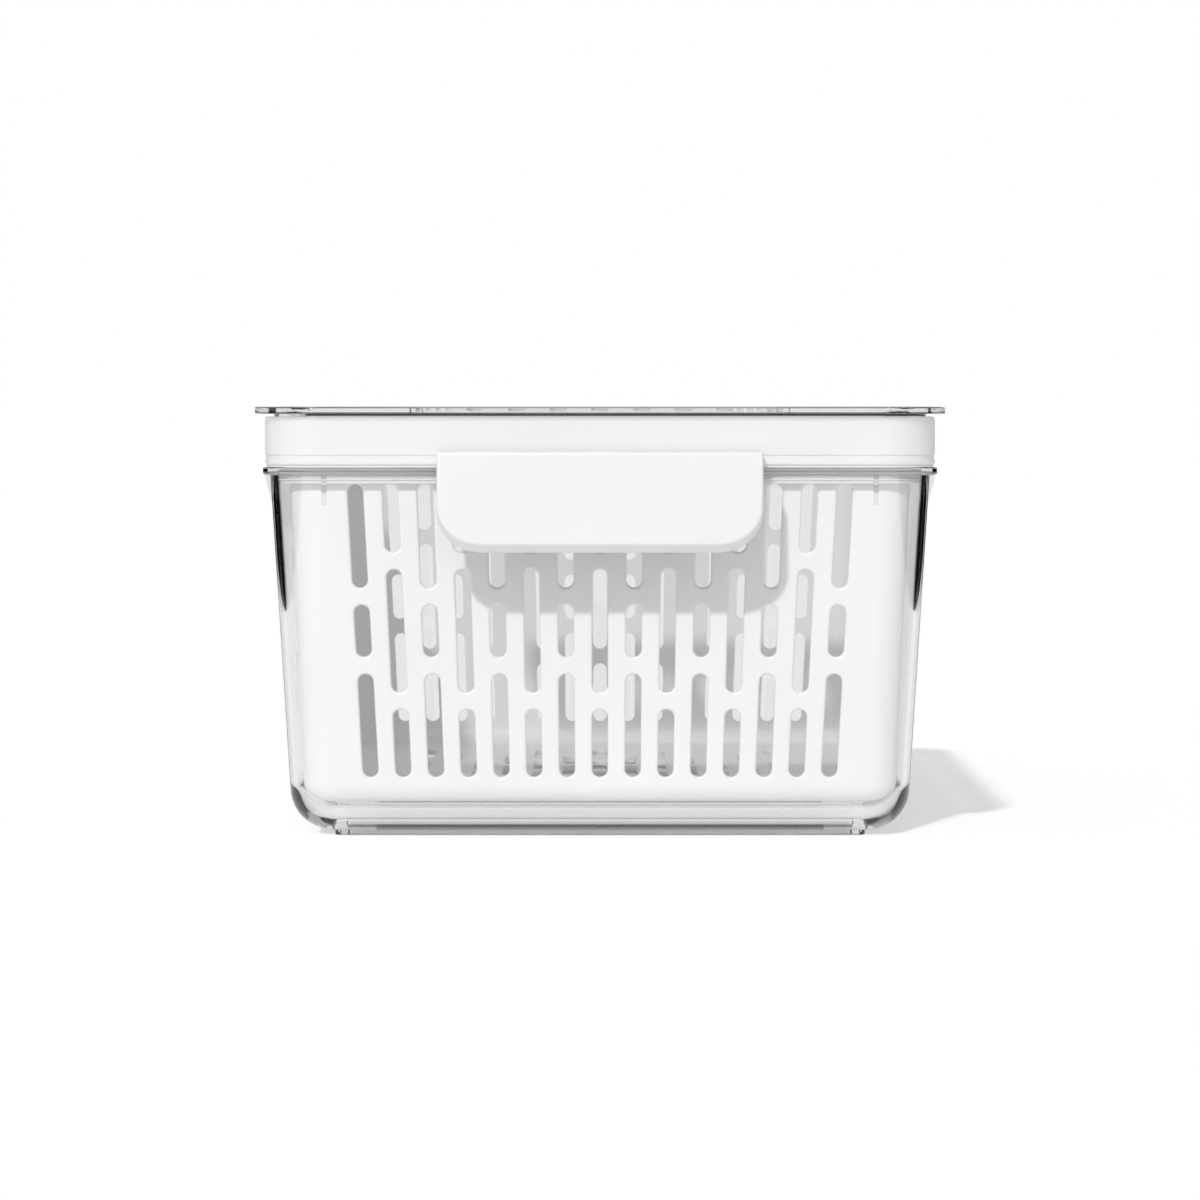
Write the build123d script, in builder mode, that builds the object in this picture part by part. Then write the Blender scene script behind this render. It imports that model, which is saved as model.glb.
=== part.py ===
"""Produce keeper: a clear tub with a white pull, a slotted basket inside, and a vented lid.

Millimetres, +Z up. The floor is Z 0 and the pull faces -Y. The origin is at the middle of the
whole footprint, pull included, so the tub's own centre lies a little behind it.
"""

import os
from math import atan2, degrees, hypot, radians, tan

from build123d import *

# Tub, measured over its lip
tub_width = 206.2
tub_depth = 291.2
tub_height = 113.4
lip_thickness = 2.5
lip_overhang = 2.1
lip_corner_r = 17.6
lip_round = 0.6
wall = 2.3
tub_draft = 3.3
bottom_round = 13.0
base_thickness = 2.5
base_rise = 2.5
foot_height = 1.8
foot_width = 4.0

# Small ribs under the lip: two on each wall
gusset_thickness = 1.5
gusset_height = 9.0
gusset_from_corner = 19.5

# Pull: a white cover capped over the tub's clear shelf and apron
pull_width = 97.6
pull_reach = 20.0
pull_rise = 5.0
pull_drop = 22.75
pull_lip_drop = 2.7
pull_lip_depth = 3.5
pull_corner_width = 13.7
pull_corner_height = 12.0
pull_cap_height = 13.8
pull_round = 1.2
cover_skin = 2.0
apron_thickness = 2.2
apron_corner_trim = 1.3
apron_side_step = 0.6
cheek_height = 6.0
fit = 0.3
peg_r = 2.5
peg_spacing = 60.0
peg_clear = 0.05

# Lid frame, measured from the lip's edge inwards and from the lip's top
frame_setback = 0.7
frame_gap = 0.45
frame_height = 14.85
frame_wall = 2.4
frame_round = 0.9
flange_width = 8.0
flange_thickness = 2.2
bead_width = 1.4
bead_inset = 0.5
groove_height = 1.7
groove_depth = 0.3
groove_rise = 1.55
skirt_wall = 1.3
skirt_drop = 4.9

# Seal in its channel on the skirt
seal_clear = 0.55
seal_reach = 1.05
seal_height = 2.7
seal_band = 0.5
seal_fin = 0.6
seal_play = 0.05
channel_reach = 0.7
channel_thickness = 0.8

# Basket
skirt_clear = 1.0
basket_drop = 2.9
basket_draft = 2.42
basket_bottom_round = 7.9
basket_wall = 1.8
rim_round = 0.6
basket_foot_height = 2.4
basket_foot_size = 13.2
basket_foot_inset = 1.3
slot_width = 4.8
slot_pitch_top = 10.65
slot_pitch_bottom = 9.99
slot_margin = 7.5
slot_bridge = 5.2
rim_band = 2.3
slot_field_rise = 9.5
long_end_share = 0.353
short_end_share = 0.232
floor_slot_length = 42.0
floor_slot_bridge = 8.0
floor_slot_margin = 16.0

# Clear lid plate
plate_overhang = 3.1
plate_thickness = 2.2
plate_round = 0.5
seat_step = 0.8
seat_step_inset = 2.7
seat_step_width = 4.0
locator_height = 6.0
locator_wall = 1.6

# Vent in the middle of the lid plate
vent_pitch = 13.4
vent_count = 7
vent_slot_width = 5.4
vent_slot_length = 24.0
vent_end_room = 14.0
vent_side_room = 8.0
tray_depth = 5.4
tray_floor = 2.0
tray_wall = 1.6
tray_corner_r = 5.0
vent_play = 0.4
gasket_thickness = 0.8
slider_thickness = 1.8
slider_lift = 0.1
grip_height = 2.1
grip_width = 1.6
grip_pitch = 3.2
grip_count = 3
leg_length = 4.0
leg_width = 8.0
leg_fit = 0.05
leg_head = 0.8
retainer_side_room = 4.0
retainer_thickness = 2.0
retainer_gap = 0.3

# Worked out from the sizes above
plate_inset = frame_setback - plate_overhang
pull_front = tub_depth / 2 + pull_reach
plate_back = tub_depth / 2 - plate_inset
centre_y = (pull_front - plate_back) / 2
floor_z = foot_height + base_rise + base_thickness
lip_under_z = tub_height - lip_thickness
mouth_inset = lip_overhang + wall
skirt_inset = mouth_inset + seal_clear + seal_reach
basket_inset = skirt_inset + skirt_wall + skirt_clear
frame_under_z = tub_height + frame_gap
frame_top_z = frame_under_z + frame_height
plate_under_z = frame_top_z + seat_step
plate_top_z = plate_under_z + plate_thickness


def level(z):
    """A horizontal plane at height z, centred on the tub."""
    return Plane((0, centre_y, z))


def facing_front(inward):
    """An upright plane seen from the front, a distance behind the lip's front edge."""
    return Plane((0, centre_y - tub_depth / 2 + inward, 0), x_dir=(1, 0, 0), z_dir=(0, -1, 0))


def limited(radius, room):
    """A rounding that its wall or corner leaves room for."""
    return min(radius, 0.95 * room)


def plan(inset, lean=0.0):
    """The lip's outline moved inwards by an inset, and drawn in further by a wall's lean."""
    corner_r = max(lip_corner_r - inset, 1.0)
    RectangleRounded(tub_width - 2 * (inset + lean), tub_depth - 2 * (inset + lean), corner_r)


def plan_ring(inset, band):
    """A band inside the lip's outline: from an inset, a band's width inwards."""
    plan(inset)
    with BuildSketch(mode=Mode.PRIVATE) as hole:
        plan(inset + band)
    add(hole.sketch, mode=Mode.SUBTRACT)


def lean_over(height, draft):
    """How far a drafted wall leans in over a height."""
    return height * tan(radians(draft))


def drafted_block(inset, top_z, low_z, lean, low_round):
    """The lip's outline, inset and run down with leaning walls to a rounded bottom."""
    with BuildPart() as block:
        with BuildSketch(level(top_z)):
            Rectangle(tub_width - 2 * inset, tub_depth - 2 * inset)
        extrude(amount=low_z - top_z)
        walls = block.faces().filter_by(lambda face: abs(face.normal_at().Z) < 0.5)
        draft(walls, level(top_z), -lean)
        upright = block.edges().filter_by(lambda edge: abs(edge.tangent_at(0.5).Z) > 0.5)
        fillet(upright, lip_corner_r - inset)
        fillet(block.faces().sort_by(Axis.Z)[0].edges(), low_round)
    return block.part


# Tub walls
foot_lean = lean_over(tub_height - foot_height, tub_draft)
outer_round = limited(bottom_round, lip_corner_r - lip_overhang)
inner_round = limited(outer_round - wall, lip_corner_r - mouth_inset)

# The pull's face, and the same outline carried lower further back
pull_top_z = tub_height + pull_rise
pull_bottom_z = tub_height - pull_drop
pull_lip_z = pull_bottom_z - pull_lip_drop
cap_bottom_z = pull_top_z - pull_cap_height
cap_inner_z = pull_top_z - cover_skin
cap_reach = pull_reach - pull_lip_depth - fit
apron_front = pull_lip_depth + fit - pull_reach
apron_back = apron_front + apron_thickness
shelf_width = pull_width - 2 * (cover_skin + fit)
peg_z = (cap_bottom_z + pull_bottom_z) / 2


def pull_outline(half_width, top_z, bottom_z, trim=0.0):
    """A tab with square top corners and broad elliptical lower ones."""
    corner_width = min(pull_corner_width - trim, 0.9 * half_width)
    corner_height = min(pull_corner_height - trim, 0.9 * (top_z - bottom_z))
    centre_x = half_width - corner_width
    centre_z = bottom_z + corner_height
    with BuildLine() as outline:
        Polyline((-half_width, centre_z), (-half_width, top_z), (half_width, top_z), (half_width, centre_z))
        EllipticalCenterArc((centre_x, centre_z), corner_width, corner_height, 270, arc_size=90)
        Line((centre_x, bottom_z), (-centre_x, bottom_z))
        EllipticalCenterArc((-centre_x, centre_z), corner_width, corner_height, 180, arc_size=90)
    make_face(outline.edges())


def gusset_plane(turn, side):
    """The profile plane of one gusset, on the wall that faces the turned front."""
    across, along = (tub_depth, tub_width) if turn % 180 == 0 else (tub_width, tub_depth)
    spot = Rot(0, 0, turn) * Pos(side * (along / 2 - gusset_from_corner), lip_overhang - across / 2, 0)
    place = Plane(level(lip_under_z).location * spot)
    return Plane(place.origin, x_dir=-place.y_dir, z_dir=-place.x_dir)


with BuildPart() as tub:
    add(drafted_block(lip_overhang, tub_height, foot_height, tub_draft, outer_round))
    # Foot ring, with the base raised inside it
    with BuildSketch(level(0)):
        plan(lip_overhang + outer_round, foot_lean)
    extrude(amount=foot_height + base_rise)
    with BuildSketch(level(0)):
        plan(lip_overhang + outer_round + foot_width, foot_lean)
    extrude(amount=foot_height + base_rise, mode=Mode.SUBTRACT)
    # Lip
    with BuildSketch(level(lip_under_z)):
        plan(0)
    extrude(amount=lip_thickness)
    lip_under, lip_top = tub.faces().filter_by(Axis.Z).sort_by(Axis.Z)[-2:]
    fillet(lip_under.outer_wire().edges() + lip_top.outer_wire().edges(), limited(lip_round, lip_thickness / 2))
    for turn in (0, 90, 180, 270):
        for side in (-1, 1):
            with BuildSketch(gusset_plane(turn, side)):
                with BuildLine():
                    Polyline((lip_overhang, 0), (-wall, 0), (-wall, -gusset_height), close=True)
                make_face()
            extrude(amount=gusset_thickness / 2, both=True)
    add(drafted_block(mouth_inset, tub_height, floor_z, tub_draft, inner_round), mode=Mode.SUBTRACT)
    mouth = tub.faces().filter_by(Axis.Z).sort_by(Axis.Z)[-1].inner_wires()
    fillet(mouth.edges(), limited(lip_round, lip_thickness / 2))
    # Shelf, apron and the two cheeks between them, which carry the pull
    with BuildSketch(level(lip_under_z)):
        with Locations((0, lip_overhang - tub_depth / 2)):
            Rectangle(shelf_width, lip_overhang - apron_front, align=(Align.CENTER, Align.MAX))
    extrude(amount=lip_thickness)
    with BuildSketch(facing_front(apron_back)):
        pull_outline(pull_width / 2 - apron_side_step, cap_bottom_z - fit, pull_lip_z, apron_corner_trim)
        with Locations((0, cap_inner_z - fit)):
            Rectangle(shelf_width, cap_inner_z - cap_bottom_z + wall, align=(Align.CENTER, Align.MAX))
        with Locations((-peg_spacing / 2, peg_z), (peg_spacing / 2, peg_z)):
            Circle(peg_r + peg_clear, mode=Mode.SUBTRACT)
    extrude(amount=apron_thickness)
    cheek_reach = mouth_inset - wall / 2 - apron_back
    with BuildSketch(level(lip_under_z)):
        with Locations((0, mouth_inset - wall / 2 - tub_depth / 2)):
            with GridLocations(shelf_width - wall, 0, 2, 1):
                Rectangle(wall, cheek_reach, align=(Align.CENTER, Align.MAX))
    extrude(amount=-cheek_height)
tub.part.label = "tub"

with BuildPart() as handle_cover:
    with BuildSketch(facing_front(-pull_reach)):
        pull_outline(pull_width / 2, pull_top_z, pull_bottom_z)
    with BuildSketch(facing_front(pull_lip_depth - pull_reach)):
        pull_outline(pull_width / 2, pull_top_z, pull_lip_z)
    loft(ruled=True)
    with BuildSketch(level(cap_bottom_z)):
        with Locations((0, -tub_depth / 2 - fit)):
            Rectangle(pull_width, cap_reach, align=(Align.CENTER, Align.MAX))
    extrude(amount=pull_cap_height)
    with BuildSketch(level(cap_bottom_z)):
        with Locations((0, -tub_depth / 2 - fit)):
            Rectangle(pull_width - 2 * cover_skin, cap_reach, align=(Align.CENTER, Align.MAX))
    extrude(amount=pull_cap_height - cover_skin, mode=Mode.SUBTRACT)
    fillet(handle_cover.faces().sort_by(Axis.Y)[0].edges(), limited(pull_round, pull_lip_depth))
    with BuildSketch(facing_front(pull_lip_depth - pull_reach)):
        with Locations((-peg_spacing / 2, peg_z), (peg_spacing / 2, peg_z)):
            Circle(peg_r)
    extrude(amount=-(fit + apron_thickness))
handle_cover.part.label = "handle_cover"

# Basket
basket_under_z = floor_z + basket_foot_height
basket_top_z = tub_height - basket_drop
basket_lean = lean_over(basket_top_z - basket_under_z, basket_draft)
basket_corner_r = lip_corner_r - basket_inset
basket_outer_round = limited(basket_bottom_round, basket_corner_r)
basket_inner_round = limited(basket_outer_round - basket_wall, basket_corner_r - basket_wall)
field_low_z = basket_under_z + slot_field_rise
field_high_z = basket_top_z - rim_band
field_height = field_high_z - field_low_z


def slot_rows(end_share):
    """The low and high ends of the three slots in one column of the wall."""
    end = end_share * field_height
    middle_low = field_low_z + end + slot_bridge
    middle_high = field_high_z - end - slot_bridge
    return (field_low_z, field_low_z + end), (middle_low, middle_high), (field_high_z - end, field_high_z)


def fan_x(column, z):
    """A column leans in with the wall, so its place across depends on the height."""
    share = (z - field_low_z) / field_height
    return column * (slot_pitch_bottom + share * (slot_pitch_top - slot_pitch_bottom))


def wall_slots(wall_length):
    """The staggered columns of slots in one wall, long at the ends in every second column."""
    room = wall_length / 2 - basket_corner_r - slot_margin
    reach = int(room / slot_pitch_top)
    for column in range(-reach, reach + 1):
        rows = slot_rows(long_end_share if column % 2 else short_end_share)
        for low, high in rows:
            low_z = low + slot_width / 2
            high_z = high - slot_width / 2
            low_x = fan_x(column, low_z)
            high_x = fan_x(column, high_z)
            tilt = degrees(atan2(high_z - low_z, high_x - low_x))
            with Locations(((low_x + high_x) / 2, (low_z + high_z) / 2)):
                SlotCenterToCenter(hypot(high_x - low_x, high_z - low_z), slot_width, rotation=tilt)


basket_width = tub_width - 2 * basket_inset
basket_depth = tub_depth - 2 * basket_inset
foot_x = basket_width / 2 - basket_lean - basket_outer_round - basket_foot_inset - basket_foot_size / 2
foot_y = basket_depth / 2 - basket_lean - basket_outer_round - basket_foot_inset - basket_foot_size / 2
floor_pitch_y = floor_slot_length + floor_slot_bridge
floor_columns = int((foot_x - basket_foot_size / 2 - slot_width) / slot_pitch_bottom)
floor_rows = int((2 * foot_y - basket_foot_size - floor_slot_margin) / floor_pitch_y)

with BuildPart() as basket:
    add(drafted_block(basket_inset, basket_top_z, basket_under_z, basket_draft, basket_outer_round))
    hollow = drafted_block(
        basket_inset + basket_wall, basket_top_z, basket_under_z + basket_wall, basket_draft, basket_inner_round
    )
    add(hollow, mode=Mode.SUBTRACT)
    rim = basket.faces().sort_by(Axis.Z)[-1]
    fillet(rim.edges(), limited(rim_round, basket_wall / 2))
    # The front and back walls share one cut, and so do the two long walls
    with BuildSketch(Plane((0, centre_y, 0), x_dir=(1, 0, 0), z_dir=(0, -1, 0))):
        wall_slots(basket_width)
    extrude(amount=basket_depth, both=True, mode=Mode.SUBTRACT)
    with BuildSketch(Plane((0, centre_y, 0), x_dir=(0, 1, 0), z_dir=(1, 0, 0))):
        wall_slots(basket_depth)
    extrude(amount=basket_width, both=True, mode=Mode.SUBTRACT)
    # Floor slots run front to back, staggered like the wall's
    with BuildSketch(level(basket_under_z)):
        for column in range(-floor_columns, floor_columns + 1):
            count = floor_rows - 1 if column % 2 else floor_rows
            with Locations((column * slot_pitch_bottom, 0)):
                with GridLocations(0, floor_pitch_y, 1, count):
                    SlotOverall(floor_slot_length, slot_width, rotation=90)
    extrude(amount=basket_wall, mode=Mode.SUBTRACT)
    with BuildSketch(level(floor_z)):
        with GridLocations(2 * foot_x, 2 * foot_y, 2, 2):
            Rectangle(basket_foot_size, basket_foot_size)
    extrude(amount=basket_foot_height)
basket.part.label = "basket"

# Lid frame
skirt_low_z = tub_height - skirt_drop
channel_low_z = skirt_low_z + channel_thickness
channel_high_z = channel_low_z + seal_height

with BuildPart() as lid_frame:
    with BuildSketch(level(frame_under_z)):
        plan_ring(frame_setback, frame_wall)
    extrude(amount=frame_height)
    with BuildSketch(level(frame_top_z - flange_thickness)):
        plan_ring(frame_setback, flange_width)
    extrude(amount=flange_thickness)
    frame_top = lid_frame.faces().sort_by(Axis.Z)[-1]
    frame_under = lid_frame.faces().sort_by(Axis.Z)[0]
    fillet(frame_top.outer_wire().edges() + frame_under.outer_wire().edges(), limited(frame_round, frame_wall / 2))
    with BuildSketch(level(skirt_low_z)):
        plan_ring(skirt_inset, skirt_wall)
    extrude(amount=frame_top_z - skirt_low_z - flange_thickness / 2)
    # Channel for the seal
    for channel_z in (skirt_low_z, channel_high_z):
        with BuildSketch(level(channel_z)):
            plan_ring(skirt_inset - channel_reach, channel_reach + skirt_wall)
        extrude(amount=channel_thickness)
    # Bead that the lid rests on, and the groove round its face
    with BuildSketch(level(tub_height)):
        plan_ring(frame_setback + bead_inset, bead_width)
    extrude(amount=frame_gap)
    with BuildSketch(level(frame_under_z + groove_rise)):
        plan_ring(frame_setback - groove_depth, 2 * groove_depth)
    extrude(amount=groove_height, mode=Mode.SUBTRACT)
lid_frame.part.label = "lid_frame"

with BuildPart() as lid_seal:
    with BuildSketch(level(channel_low_z + seal_play)):
        plan_ring(skirt_inset - seal_play - seal_band, seal_band)
    extrude(amount=seal_height - 2 * seal_play)
    for fin_z in (channel_low_z + seal_play, channel_high_z - seal_play - seal_fin):
        with BuildSketch(level(fin_z)):
            plan_ring(skirt_inset - seal_reach, seal_reach - seal_play)
        extrude(amount=seal_fin)
lid_seal.part.label = "lid_seal"

# Vent: the slider's slots line up with the plate's when it is open, half a pitch apart when closed
vent_travel = vent_pitch / 2
slot_span = (vent_count - 1) * vent_pitch + vent_slot_width
slider_length = slot_span + 2 * vent_end_room
slider_width = vent_slot_length + 2 * vent_side_room
tray_length = slider_length + vent_travel + 2 * vent_play
tray_width = slider_width + 2 * vent_play
tray_floor_z = plate_top_z - tray_depth
slider_x = -vent_travel / 2
slider_z = tray_floor_z + gasket_thickness + slider_lift
leg_x = slot_span / 2 + vent_end_room / 2
retainer_z = tray_floor_z - tray_floor - retainer_gap - retainer_thickness


def vent_slots():
    """The row of vent slots across the middle of the lid."""
    with GridLocations(vent_pitch, 0, vent_count, 1):
        SlotOverall(vent_slot_length, vent_slot_width, rotation=90, mode=Mode.SUBTRACT)


def guide_slots(play):
    """Openings that let the slider's two legs travel."""
    with GridLocations(2 * leg_x, 0, 2, 1):
        Rectangle(leg_length + vent_travel + 2 * play, leg_width + 2 * play, mode=Mode.SUBTRACT)


def legs(grow):
    """The slider's two legs in plan, where they stand when the vent is open."""
    with Locations((slider_x, 0)):
        with GridLocations(2 * leg_x, 0, 2, 1):
            Rectangle(leg_length + 2 * grow, leg_width + 2 * grow)


with BuildPart() as lid_panel:
    with BuildSketch(level(plate_under_z)):
        plan(plate_inset)
    extrude(amount=plate_thickness)
    fillet(lid_panel.edges().filter_by(Plane.XY), limited(plate_round, plate_thickness / 2))
    with BuildSketch(level(frame_top_z)):
        plan_ring(frame_setback + seat_step_inset, seat_step_width)
    extrude(amount=seat_step)
    with BuildSketch(level(frame_top_z - locator_height)):
        plan_ring(frame_setback + flange_width + fit, locator_wall)
    extrude(amount=locator_height + seat_step)
    # Sunk tray for the vent
    with BuildSketch(level(tray_floor_z - tray_floor)):
        RectangleRounded(tray_length + 2 * tray_wall, tray_width + 2 * tray_wall, tray_corner_r + tray_wall)
    extrude(amount=tray_floor + tray_depth - plate_thickness)
    with BuildSketch(level(tray_floor_z)):
        RectangleRounded(tray_length, tray_width, tray_corner_r)
    extrude(amount=tray_depth, mode=Mode.SUBTRACT)
    with BuildSketch(level(tray_floor_z)):
        Rectangle(tray_length, tray_width)
        with BuildSketch(mode=Mode.PRIVATE) as pierced:
            Rectangle(tray_length, tray_width)
            vent_slots()
            guide_slots(vent_play)
        add(pierced.sketch, mode=Mode.SUBTRACT)
    extrude(amount=-tray_floor, mode=Mode.SUBTRACT)
lid_panel.part.label = "lid_panel"

with BuildPart() as vent_gasket:
    with BuildSketch(level(tray_floor_z)):
        RectangleRounded(tray_length - 2 * fit, tray_width - 2 * fit, tray_corner_r - fit)
        vent_slots()
        guide_slots(vent_play)
    extrude(amount=gasket_thickness)
vent_gasket.part.label = "vent_gasket"

with BuildPart() as vent_slider:
    with BuildSketch(level(slider_z)):
        with Locations((slider_x, 0)):
            RectangleRounded(slider_length, slider_width, tray_corner_r - fit)
        vent_slots()
    extrude(amount=slider_thickness)
    with BuildSketch(level(slider_z + slider_thickness)):
        with Locations((slider_x - leg_x, 0), (slider_x + leg_x, 0)):
            with GridLocations(grip_pitch, 0, grip_count, 1):
                SlotOverall(vent_slot_length, grip_width, rotation=90)
    extrude(amount=grip_height)
    with BuildSketch(level(retainer_z)):
        legs(0)
    extrude(amount=slider_z - retainer_z)
    with BuildSketch(level(retainer_z)):
        legs(leg_head)
    extrude(amount=-leg_head)
vent_slider.part.label = "vent_slider"

with BuildPart() as vent_retainer:
    with BuildSketch(level(retainer_z)):
        with Locations((slider_x, 0)):
            RectangleRounded(slider_length, vent_slot_length + 2 * retainer_side_room, tray_corner_r - fit)
        vent_slots()
        with Locations((slider_x, 0)):
            with GridLocations(2 * leg_x, 0, 2, 1):
                Rectangle(leg_length + 2 * leg_fit, leg_width + 2 * leg_fit, mode=Mode.SUBTRACT)
    extrude(amount=retainer_thickness)
vent_retainer.part.label = "vent_retainer"

pieces = (
    tub,
    handle_cover,
    basket,
    lid_frame,
    lid_seal,
    lid_panel,
    vent_gasket,
    vent_slider,
    vent_retainer,
)
os.makedirs("parts", exist_ok=True)
for piece in pieces:
    export_step(piece.part, f"parts/{piece.part.label}.step")
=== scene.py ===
"""Looks of a clear produce keeper: tub, slotted basket, white pull and vented lid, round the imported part."""

from math import cos, degrees, pi, radians, sin, tan

import bmesh
import bpy
from mathutils import Matrix, Vector


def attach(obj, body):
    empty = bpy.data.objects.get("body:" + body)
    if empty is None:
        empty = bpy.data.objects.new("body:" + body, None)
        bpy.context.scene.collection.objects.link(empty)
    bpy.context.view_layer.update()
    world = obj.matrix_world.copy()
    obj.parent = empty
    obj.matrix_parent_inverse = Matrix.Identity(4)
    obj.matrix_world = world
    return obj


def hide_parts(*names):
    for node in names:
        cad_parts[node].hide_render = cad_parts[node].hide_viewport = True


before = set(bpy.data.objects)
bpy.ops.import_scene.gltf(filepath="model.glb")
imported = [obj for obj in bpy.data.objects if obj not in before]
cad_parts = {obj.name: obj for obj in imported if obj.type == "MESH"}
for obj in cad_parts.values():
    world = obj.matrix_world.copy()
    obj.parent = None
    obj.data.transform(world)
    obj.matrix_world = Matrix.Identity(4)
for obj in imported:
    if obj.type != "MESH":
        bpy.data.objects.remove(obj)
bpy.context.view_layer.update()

MM = 0.001
scene = bpy.context.scene


def linear(hex_code):
    """A colour written as sRGB hex, in the linear values that a shader takes, opaque."""
    shares = [int(hex_code[at : at + 2], 16) / 255 for at in (1, 3, 5)]
    return [s / 12.92 if s <= 0.04045 else ((s + 0.055) / 1.055) ** 2.4 for s in shares] + [1.0]


def add_node(tree, kind, links=None, values=None, **settings):
    """A node with its settings, its sockets' values and what feeds it."""
    node = tree.nodes.new(kind)
    for name, value in settings.items():
        setattr(node, name, value)
    for socket, value in (values or {}).items():
        node.inputs[socket].default_value = value
    for socket, source in (links or {}).items():
        tree.links.new(source, node.inputs[socket])
    return node


def empty_material(name):
    """A material with no nodes yet, and its tree."""
    material = bpy.data.materials.new(name)
    material.use_nodes = True
    material.node_tree.nodes.clear()
    return material, material.node_tree


def per_mm(size_mm):
    """A pattern's scale on Object coordinates, for features of a real size."""
    return 1 / (size_mm * MM)


def new_object(name, data):
    """An object of some data, in the scene."""
    made = bpy.data.objects.new(name, data)
    scene.collection.objects.link(made)
    return made


def mesh_of(shape, name):
    """A shape as a mesh. The shape is used up."""
    mesh = bpy.data.meshes.new(name)
    shape.to_mesh(mesh)
    shape.free()
    return mesh


# Materials

# Sizes of the plastics' patterns, in millimetres
FLOW_SIZE, FLOW_DEPTH = 45, 0.2
CLOUD_SIZE = 38
BLOOM_SIZE = 6
# Light scatters equally far in all colours, so milky edges keep no tint
EVEN_SCATTER = (1.0, 1.0, 1.0)


def clear_san(name, tone, roughness, passed):
    """Injection-moulded SAN: water clear, a hard gloss, and a faint ripple from the melt's flow."""
    material, tree = empty_material(name)
    place = add_node(tree, "ShaderNodeTexCoord")
    flow = add_node(
        tree,
        "ShaderNodeTexNoise",
        {"Vector": place.outputs["Object"]},
        {"Scale": per_mm(FLOW_SIZE), "Detail": 1.0},
    )
    ripple = add_node(
        tree,
        "ShaderNodeBump",
        {"Height": flow.outputs[0]},
        {"Strength": 0.12, "Distance": FLOW_DEPTH * MM},
    )
    plastic = add_node(
        tree,
        "ShaderNodeBsdfPrincipled",
        {"Normal": ripple.outputs[0]},
        {"Base Color": linear(tone), "Roughness": roughness, "IOR": 1.57, "Transmission Weight": 1.0},
    )
    # Shadow rays and diffuse rays go straight through, so the walls don't bend the light that falls inside
    passing = add_node(tree, "ShaderNodeBsdfTransparent", values={"Color": linear(passed)})
    rays = add_node(tree, "ShaderNodeLightPath")
    lit = add_node(
        tree,
        "ShaderNodeMath",
        {0: rays.outputs["Is Shadow Ray"], 1: rays.outputs["Is Diffuse Ray"]},
        operation="MAXIMUM",
    )
    surface = add_node(
        tree,
        "ShaderNodeMixShader",
        {0: lit.outputs[0], 1: plastic.outputs[0], 2: passing.outputs[0]},
    )
    add_node(tree, "ShaderNodeOutputMaterial", {"Surface": surface.outputs[0]})
    return material


def white_pp(name, tones, roughness, grain_mm, grain_depth):
    """Moulded white polypropylene: milky, with the mould's fine grain in its satin skin, hardly uneven."""
    material, tree = empty_material(name)
    place = add_node(tree, "ShaderNodeTexCoord")
    grain = add_node(
        tree,
        "ShaderNodeTexNoise",
        {"Vector": place.outputs["Object"]},
        {"Scale": per_mm(grain_mm), "Detail": 2.0, "Roughness": 0.6},
    )
    skin = add_node(
        tree,
        "ShaderNodeBump",
        {"Height": grain.outputs[0]},
        {"Strength": 0.25, "Distance": grain_depth * MM},
    )
    cloud = add_node(
        tree,
        "ShaderNodeTexNoise",
        {"Vector": place.outputs["Object"]},
        {"Scale": per_mm(CLOUD_SIZE), "Detail": 3.0},
    )
    shade = add_node(tree, "ShaderNodeValToRGB", {0: cloud.outputs[0]})
    low, high = shade.color_ramp.elements
    low.position, high.position = 0.3, 0.7
    low.color, high.color = linear(tones[0]), linear(tones[1])
    gloss = add_node(
        tree,
        "ShaderNodeMapRange",
        {"Value": grain.outputs[0]},
        {"To Min": roughness - 0.05, "To Max": roughness + 0.05},
    )
    plastic = add_node(
        tree,
        "ShaderNodeBsdfPrincipled",
        {"Base Color": shade.outputs[0], "Roughness": gloss.outputs[0], "Normal": skin.outputs[0]},
        {
            "IOR": 1.49,
            "Subsurface Weight": 0.08,
            "Subsurface Radius": EVEN_SCATTER,
            "Subsurface Scale": 1.5 * MM,
        },
    )
    add_node(tree, "ShaderNodeOutputMaterial", {"Surface": plastic.outputs[0]})
    return material


def clear_silicone():
    """Natural moulded silicone rubber: a milky grey that lets some light through, and matt."""
    material, tree = empty_material("moulded_silicone")
    place = add_node(tree, "ShaderNodeTexCoord")
    bloom = add_node(
        tree,
        "ShaderNodeTexNoise",
        {"Vector": place.outputs["Object"]},
        {"Scale": per_mm(BLOOM_SIZE), "Detail": 2.0},
    )
    gloss = add_node(
        tree,
        "ShaderNodeMapRange",
        {"Value": bloom.outputs[0]},
        {"To Min": 0.38, "To Max": 0.55},
    )
    rubber = add_node(
        tree,
        "ShaderNodeBsdfPrincipled",
        {"Roughness": gloss.outputs[0]},
        {
            "Base Color": linear("#EDEEEE"),
            "IOR": 1.41,
            "Subsurface Weight": 0.5,
            "Subsurface Radius": EVEN_SCATTER,
            "Subsurface Scale": 2 * MM,
        },
    )
    add_node(tree, "ShaderNodeOutputMaterial", {"Surface": rubber.outputs[0]})
    return material


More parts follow.
